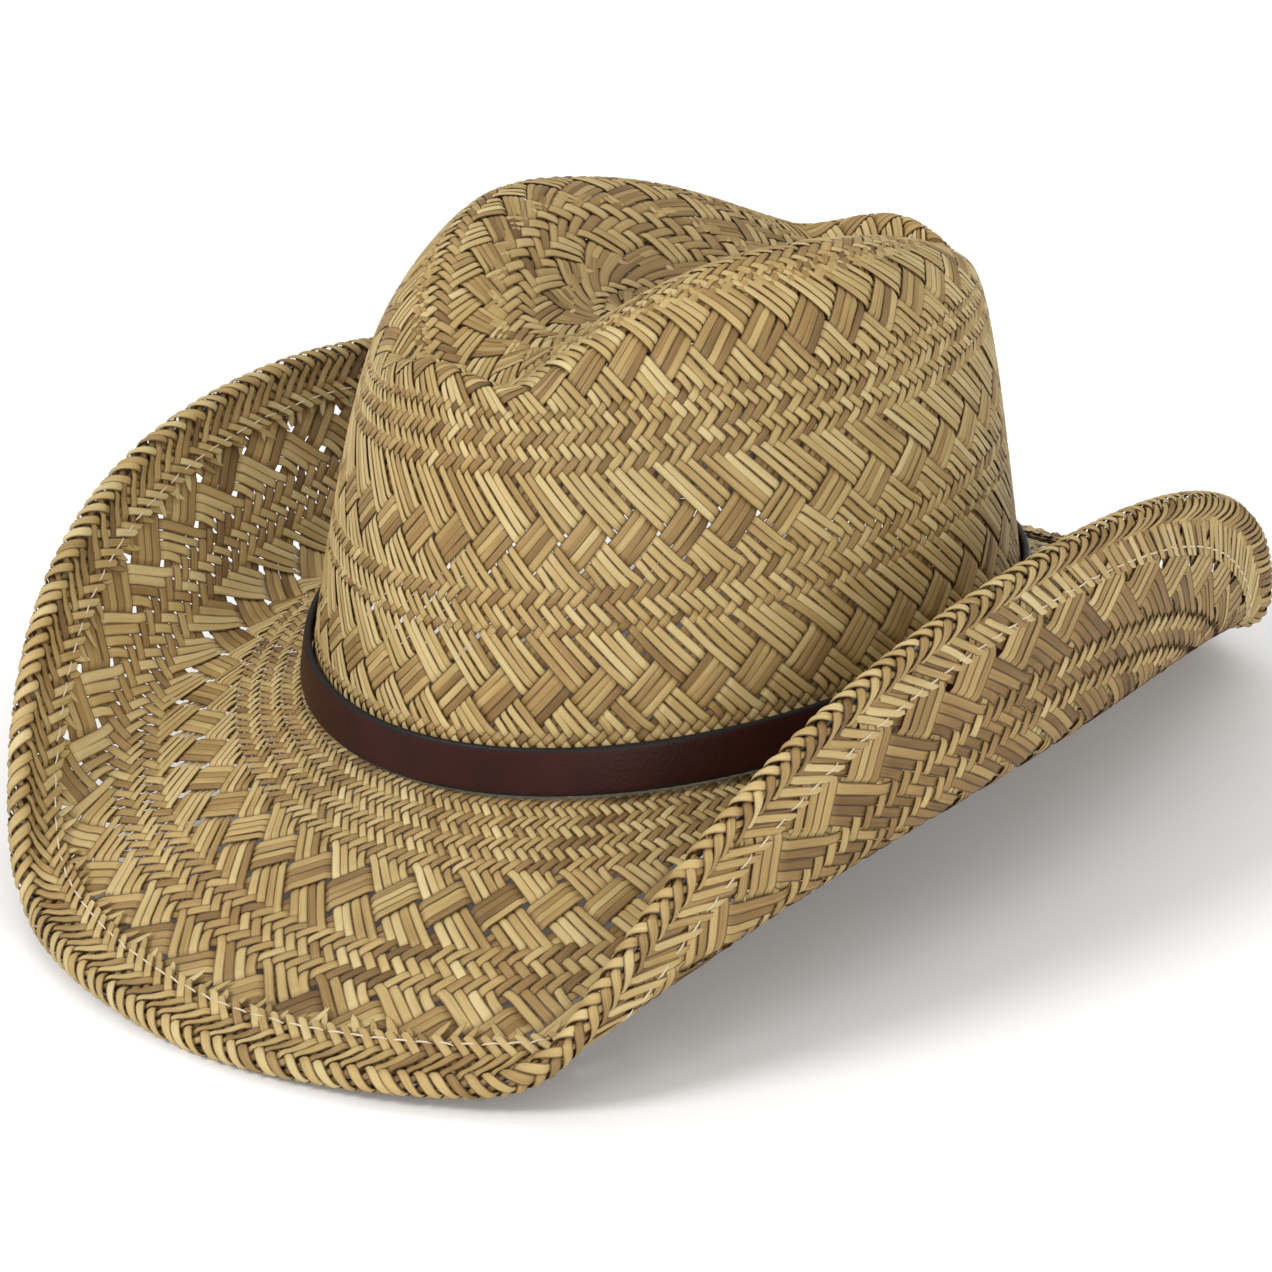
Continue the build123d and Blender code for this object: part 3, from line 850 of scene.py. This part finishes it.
class HAT_OT_brim(HatPiece, bpy.types.Operator):
    """Weave the brim in rings of rows and diamonds"""
    bl_idname = "hat.brim"
    bl_label = "Woven brim"

    def execute(self, context):
        sizes = settings()[0]
        table = level_table(brim_surface, 0.0, BRIM_END_LEVEL)
        rows = rows_between(table[1][0], table[1][-1], sizes.brim_strands)
        points, tones = weave_strands(
            brim_skin_sheet, level_finder(table), 0.0, sizes.brim_strands, cut_plan(BRIM_PLAN, rows),
            BRIM_SEED, OPEN_FILL, sizes.strand_lift, sizes.strand_dome, 1, BRIM_TWIST,
        )
        made = ribbon_object("brim_weave", points, tones, straw())
        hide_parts("woven_brim")
        return {"FINISHED"}


class HAT_OT_hem(HatPiece, bpy.types.Operator):
    """Weave the folded edge round the wire"""
    bl_idname = "hat.hem"
    bl_label = "Folded edge"

    def execute(self, context):
        sizes = settings()[0]
        length = 2 * HEM_WIDTH + math.pi * HEM_FOLD_RADIUS
        table = level_table(lambda t, p: hem_skin(t, p, 0.0 * p * t), 0.0, length)
        rows = rows_between(table[1][0], table[1][-1], sizes.hem_strands)
        points, tones = weave_strands(
            hem_skin, level_finder(table), 0.0, sizes.hem_strands, cut_plan(HEM_PLAN, rows), HEM_SEED,
            HEM_FILL, sizes.strand_lift * 1.25, sizes.strand_dome * 1.35, spread=0.0, wander=0.14,
        )
        made = ribbon_object("brim_hem_weave", points, tones, straw())
        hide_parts("brim_hem")
        points, tones = cut_ends(sizes.brim_strands, CUT_END_SEED)
        ribbon_object("hem_cut_ends", points, tones, straw())
        return {"FINISHED"}


def cut_ends(count, seed):
    """Trimmed ends of the folded strands, lying on the brim just inside the hem."""
    rng = np.random.default_rng(seed)
    run = np.linspace(0, 1, 6)[None, :, None]
    across = np.linspace(-1, 1, ACROSS)[None, None, :]
    foot = (TURN * (np.arange(count) + rng.uniform(-0.25, 0.25, count)) / count)[:, None, None]
    length = rng.uniform(3.2, 6.2, count)[:, None, None] * MM
    lean = (rng.choice((-1.0, 1.0), count) * rng.uniform(0.4, 1.0, count))[:, None, None]
    half = rng.uniform(0.95, 1.35, count)[:, None, None] * MM * (1 - 0.85 * run ** 4)
    radius = CROWN_HALF_LENGTH + BRIM_FRONT
    inset = WIRE_INSET + HEM_WIDTH - 1.5 * MM + length * run - across * half * lean * 0.5
    theta = foot + (lean * length * run + across * half) / radius
    rise = (0.68 + 0.15 * rng.random((count, 1, 1)) + 0.12 * run ** 2 - 0.12 * across ** 2) * MM
    points = brim_skin(theta, brim_share(theta, inset), rise)
    tones = np.broadcast_to(rng.normal(0.62, 0.16, (count, 1, 1)), theta.shape)
    return points, tones.clip(0, 1)


def stitch_row(name, point_at, up_at, count, length, radius, material, first=0.0):
    """Row of separate stitches, each bowed so that its ends dive into what it sews."""
    rng = np.random.default_rng(STITCH_SEED)
    around, along = 6, 5
    theta = first + TURN * (np.arange(count) + 0.5) / count
    middle = point_at(theta)
    ahead = point_at(theta + STEP) - point_at(theta - STEP)
    ahead /= np.linalg.norm(ahead, axis=-1, keepdims=True)
    up = up_at(theta)
    side = np.cross(ahead, up)
    side /= np.linalg.norm(side, axis=-1, keepdims=True)
    ahead = ahead + side * rng.normal(0, 0.07, (count, 1))
    verts, faces = [], []
    run = np.linspace(-1, 1, along)
    spin = np.linspace(0, TURN, around, endpoint=False)
    for index in range(count):
        for place in run:
            bow = -radius * 1.6 * place ** 4
            thick = radius * (1 - 0.35 * place ** 4)
            centre = middle[index] + ahead[index] * (place * length / 2) + up[index] * bow
            for angle in spin:
                verts.append(centre + (side[index] * math.cos(angle) + up[index] * math.sin(angle)) * thick)
    for index in range(count):
        base = index * along * around
        for row in range(along - 1):
            for column in range(around):
                corner = base + row * around + column
                beside = base + row * around + (column + 1) % around
                faces.append((corner, beside, beside + around, corner + around))
        faces.append([base + column for column in range(around)][::-1])
        faces.append([base + (along - 1) * around + column for column in range(around)])
    mesh = bpy.data.meshes.new(name)
    mesh.from_pydata([tuple(vert) for vert in verts], [], faces)
    return add_piece(mesh, material)


class HAT_OT_hem_stitches(HatPiece, bpy.types.Operator):
    """Running stitch along the folded edge, on both faces"""
    bl_idname = "hat.hem_stitches"
    bl_label = "Hem stitches"

    def execute(self, context):
        sizes, colours = settings()
        thread = thread_material("hem_thread_cotton", colours.thread, shaded(colours.thread, 0.72))

        def line(path, lift):
            return lambda theta: hem_skin(theta, np.full(theta.shape, path), np.full(theta.shape, lift))

        inset = 2.2 * MM
        under_path = 2 * HEM_WIDTH + math.pi * HEM_FOLD_RADIUS - inset
        rows = (("hem_stitches_top", inset, 0.0), ("hem_stitches_under", under_path, 0.5))
        for name, path, phase in rows:
            lift = sizes.strand_lift + sizes.strand_dome + 0.35 * sizes.thread_radius
            point_at = line(path, lift)
            above = line(path, lift + 1.0 * MM)
            made = stitch_row(
                name, point_at, lambda t: (above(t) - point_at(t)) / MM, sizes.hem_stitches,
                sizes.stitch_length, sizes.thread_radius, thread, phase * TURN / sizes.hem_stitches,
            )
            if phase == 0.0:
                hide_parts("hem_thread")
        return {"FINISHED"}


def rounded_section(half_height, half_thickness, count=28, square=0.30):
    """Corners of a strap's section with eased edges, as (height, offset) arrays."""
    angle = np.arange(count) * TURN / count
    height = half_height * np.sign(np.cos(angle)) * np.abs(np.cos(angle)) ** square
    offset = half_thickness * np.sign(np.sin(angle)) * np.abs(np.sin(angle)) ** 0.55
    return height, offset


def wall_strap(name, first, last, low, high, inner, thickness, material, steps=300, wave=0.0):
    """Strap on the crown's wall from one angle to another; inner is a function of the angle."""
    theta = np.linspace(first, last, steps)[:, None]
    height, offset = rounded_section((high - low) / 2, thickness / 2)
    ripple = wave * (np.sin(theta * 23.0) + 0.6 * np.sin(theta * 41.0 + 1.3))
    heights = (low + high) / 2 + height[None, :] + 0 * theta
    offsets = inner(theta) + thickness / 2 + offset[None, :] + ripple
    return sweep_object(name, wall_point(theta, heights, offsets), material)


class HAT_OT_hatband(HatPiece, bpy.types.Operator):
    """Leather hatband, lapped and stitched at the back"""
    bl_idname = "hat.hatband"
    bl_label = "Hatband"

    def execute(self, context):
        colours = settings()[1]
        lap_angle = HATBAND_LAP / CROWN_HALF_WIDTH
        first = BACK - lap_angle / 2
        last = first + TURN + lap_angle

        def inner(theta):
            lift = smooth(theta, last - 2.4 * lap_angle, last - 1.2 * lap_angle)
            return BAND_GAP - 0.25 * MM + (HATBAND_THICKNESS + 0.3 * MM) * lift

        made = wall_strap(
            "hatband_leather", first, last, HATBAND_LIFT, HATBAND_LIFT + HATBAND_HEIGHT, inner,
            HATBAND_THICKNESS, leather_material(colours), 420,
        )
        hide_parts("hatband_strap")
        dark = thread_material("band_thread_waxed", (0.05, 0.035, 0.03), (0.02, 0.014, 0.012))
        outer = BAND_GAP + 0.05 * MM + 2 * HATBAND_THICKNESS + 0.3 * MM
        steps = []
        for side in (-1, 1):
            theta = BACK + side * (HATBAND_LAP / 2 - 4.0 * MM) / CROWN_HALF_WIDTH
            for index in range(4):
                middle = HATBAND_LIFT + HATBAND_HEIGHT * (index + 0.5) / 4
                steps.append((theta, middle))
        spin = np.linspace(0, TURN, 8, endpoint=False)[None, :]
        run = np.linspace(-1, 1, 7)[:, None]
        radius = HATBAND_STITCH_RADIUS
        for index, (theta, middle) in enumerate(steps):
            angle = theta + radius * np.cos(spin) / CROWN_HALF_WIDTH + 0 * run
            height = middle + run * MM + 0 * spin
            offset = outer + radius * np.sin(spin) - 0.5 * MM * run ** 4
            name = f"hatband_stitch_{index + 1}"
            made = sweep_object(name, wall_point(angle, height, offset), dark)
        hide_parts("hatband_stitching")
        return {"FINISHED"}


class HAT_OT_sweatband(HatPiece, bpy.types.Operator):
    """Cloth sweatband with its tape, seam, bow and blank label"""
    bl_idname = "hat.sweatband"
    bl_label = "Sweatband"

    def execute(self, context):
        sizes, colours = settings()
        outside = -WEAVE - BAND_GAP
        inside = outside - SWEATBAND_THICKNESS
        lining = cloth_material("sweatband_cotton", colours.lining, shaded(colours.lining, 0.66))
        gap = SWEATBAND_BUTT_GAP / CROWN_HALF_LENGTH
        band = wall_strap(
            "sweatband_cloth", BACK + gap, BACK + TURN - gap, -SWEATBAND_DROP, SWEATBAND_HEIGHT,
            lambda t: inside + 0 * t, SWEATBAND_THICKNESS, lining, 360, 0.10 * MM,
        )
        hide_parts("sweatband")
        half = TAPE_WIDTH / 2 / CROWN_HALF_WIDTH
        tape = wall_strap(
            "sweatband_seam_tape", BACK - half, BACK + half, TAPE_FOOT, SWEATBAND_HEIGHT,
            lambda t: inside - 0.7 * MM + 0 * t, TAPE_THICKNESS, lining, 24,
        )
        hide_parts("sweatband_tape")
        half = LABEL_WIDTH / 2 / CROWN_HALF_WIDTH
        cloth = cloth_material("label_cotton", colours.label, shaded(colours.label, 0.85), 2400.0)
        label = wall_strap(
            "blank_size_label", LABEL_PLACE - half, LABEL_PLACE + half, LABEL_FOOT, LABEL_FOOT + LABEL_HEIGHT,
            lambda t: inside - 0.6 * MM + 0 * t, LABEL_THICKNESS, cloth, 30,
        )
        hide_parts("size_label")
        thread = thread_material("seam_thread_cotton", colours.thread, shaded(colours.thread, 0.72))

        def point_at(theta):
            return wall_point(theta, SEAM_HEIGHT, inside - 0.30 * MM)

        def up_at(theta):
            return -wall_normal(theta, np.full(theta.shape, SEAM_HEIGHT))

        seam = stitch_row(
            "sweatband_stitches", point_at, up_at, sizes.seam_stitches, SEAM_STITCH_LENGTH,
            sizes.thread_radius, thread,
        )
        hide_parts("sweatband_thread")
        self.bow(colours, inside)
        return {"FINISHED"}

    def bow(self, colours, inside):
        """Small flat ribbon bow at the foot of the tape."""
        ribbon = cloth_material("bow_ribbon", colours.ribbon, shaded(colours.ribbon, 0.5), 3000.0)
        centre = wall_point(np.array(BACK), np.array(BOW_HEIGHT), np.array(inside - 0.95 * MM))
        thin = RIBBON_HALF_THICKNESS
        for side in (-1, 1):
            turn = np.linspace(0.0, TURN, 33)
            reach = side * (1.2 + 4.0 * (1 - np.cos(turn))) * MM
            depth = -(1.5 + 1.15 * np.sin(turn) * (0.35 + 0.65 * (1 - np.cos(turn)) / 2)) * MM
            spread = (1.3 + 1.0 * (1 - np.cos(turn)) / 2) * MM
            rings = [
                [(x, y - thin, -half), (x, y + thin, -half), (x, y + thin, half), (x, y - thin, half)]
                for x, y, half in zip(reach, depth, spread)
            ]
            name = "bow_loop_left" if side > 0 else "bow_loop_right"
            sweep_object(name, np.array(rings) + centre, ribbon)
        height, offset = rounded_section(2.4 * MM, 1.45 * MM, 20, 0.6)
        run = np.linspace(-1.5, 1.5, 9) * MM
        rings = [
            [(x, -BOW_DEPTH + o * squeeze, h * squeeze) for h, o in zip(height, offset)]
            for x, squeeze in ((x, 1 - 0.25 * (x / BOW_DEPTH) ** 4) for x in run)
        ]
        knot = sweep_object("bow_knot", np.array(rings) + centre, ribbon)
        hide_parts("sweatband_bow")


class HAT_OT_fittings(HatPiece, bpy.types.Operator):
    """Finish the wire, its joiner and the sweatband's reed"""
    bl_idname = "hat.fittings"
    bl_label = "Wire and reed"

    def execute(self, context):
        finishes = {
            "brim_wire": hard_material("spring_wire", (0.55, 0.55, 0.56), 1.0, 0.3),
            "wire_joiner": hard_material("joiner_tube", (0.62, 0.60, 0.55), 1.0, 0.25),
            "sweatband_reed": hard_material("reed_cord", (0.72, 0.66, 0.52), 0.0, 0.5),
        }
        for node, material in finishes.items():
            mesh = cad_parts[node].data
            mesh.materials.clear()
            mesh.materials.append(material)
        return {"FINISHED"}


class HAT_OT_stage(HatPiece, bpy.types.Operator):
    """Pale floor, soft studio lights and the camera"""
    bl_idname = "hat.stage"
    bl_label = "Stage"

    def execute(self, context):
        colours = settings()[1]
        scene = context.scene
        scene.view_settings.view_transform = "Standard"
        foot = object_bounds()[0].z
        n = Nodes("floor_paper")
        shade = n.noise(n.object_place(), 3.0, 2.0)
        paper = [(0.3, shaded(colours.floor, 0.985)), (0.7, colours.floor)]
        n.feed(n.shader, "Base Color", n.ramp(shade, paper))
        n.shader.inputs["Roughness"].default_value = 0.9
        mesh = bpy.data.meshes.new("studio_floor")
        signs = ((-1, -1), (1, -1), (1, 1), (-1, 1))
        corners = [(x * FLOOR_REACH, y * FLOOR_REACH, foot) for x, y in signs]
        mesh.from_pydata(corners, [], [(0, 1, 2, 3)])
        mesh.materials.append(n.material)
        floor = bpy.data.objects.new("studio_floor", mesh)
        scene.collection.objects.link(floor)
        floor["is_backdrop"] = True
        world = bpy.data.worlds.new("studio")
        world.use_nodes = True
        background = world.node_tree.nodes["Background"]
        background.inputs["Color"].default_value = (1.0, 1.0, 1.0, 1.0)
        background.inputs["Strength"].default_value = WORLD_STRENGTH
        scene.world = world
        for name, place, spread, strength in LIGHTS:
            light = bpy.data.lights.new(name, "SUN")
            light.angle = math.radians(spread)
            light.energy = strength
            made = bpy.data.objects.new(name, light)
            made.location = place
            made.rotation_euler = (-Vector(place)).to_track_quat("-Z", "Y").to_euler()
            scene.collection.objects.link(made)
        self.camera(scene)
        return {"FINISHED"}

    def camera(self, scene):
        sine, cosine = math.sin(CAMERA_AZIMUTH), math.cos(CAMERA_AZIMUTH)
        level = math.cos(CAMERA_ELEVATION)
        away = Vector((sine * level, -cosine * level, math.sin(CAMERA_ELEVATION)))
        right = Vector((cosine, sine, 0.0))
        up = away.cross(right)
        turned_right = right * math.cos(CAMERA_ROLL) + up * math.sin(CAMERA_ROLL)
        turned_up = up * math.cos(CAMERA_ROLL) - right * math.sin(CAMERA_ROLL)
        camera = bpy.data.cameras.new("studio_camera")
        camera.lens = CAMERA_LENS
        camera.sensor_width = 36.0
        camera.clip_end = 50.0
        made = bpy.data.objects.new("studio_camera", camera)
        turn = Matrix((turned_right, turned_up, away)).transposed().to_4x4()
        place = Vector(CAMERA_TARGET) + away * CAMERA_DISTANCE
        made.matrix_world = Matrix.Translation(place) @ turn
        scene.collection.objects.link(made)
        scene.camera = made


class HAT_PT_panel(bpy.types.Panel):
    """Sizes, colours and pieces of the hat"""
    bl_idname = "HAT_PT_panel"
    bl_label = "Woven Hat"
    bl_space_type = "VIEW_3D"
    bl_region_type = "UI"
    bl_category = "Hat"

    def draw(self, context):
        layout = self.layout
        for group in (context.scene.hat_sizes, context.scene.hat_colours):
            box = layout.box()
            for name in group.__annotations__:
                box.prop(group, name)
        for operator in OPERATORS:
            layout.operator(operator.bl_idname)


OPERATORS = (
    HAT_OT_crown,
    HAT_OT_brim,
    HAT_OT_hem,
    HAT_OT_hem_stitches,
    HAT_OT_hatband,
    HAT_OT_sweatband,
    HAT_OT_fittings,
    HAT_OT_stage,
)
CLASSES = (HatSizes, HatColours, *OPERATORS, HAT_PT_panel)


def register():
    for kind in CLASSES:
        bpy.utils.register_class(kind)
    bpy.types.Scene.hat_sizes = PointerProperty(type=HatSizes)
    bpy.types.Scene.hat_colours = PointerProperty(type=HatColours)


def unregister():
    del bpy.types.Scene.hat_colours
    del bpy.types.Scene.hat_sizes
    for kind in reversed(CLASSES):
        bpy.utils.unregister_class(kind)


def main():
    register()
    bpy.ops.hat.crown()
    bpy.ops.hat.brim()
    bpy.ops.hat.hem()
    bpy.ops.hat.hem_stitches()
    bpy.ops.hat.hatband()
    bpy.ops.hat.sweatband()
    bpy.ops.hat.fittings()
    bpy.ops.hat.stage()


if __name__ == "__main__":
    main()
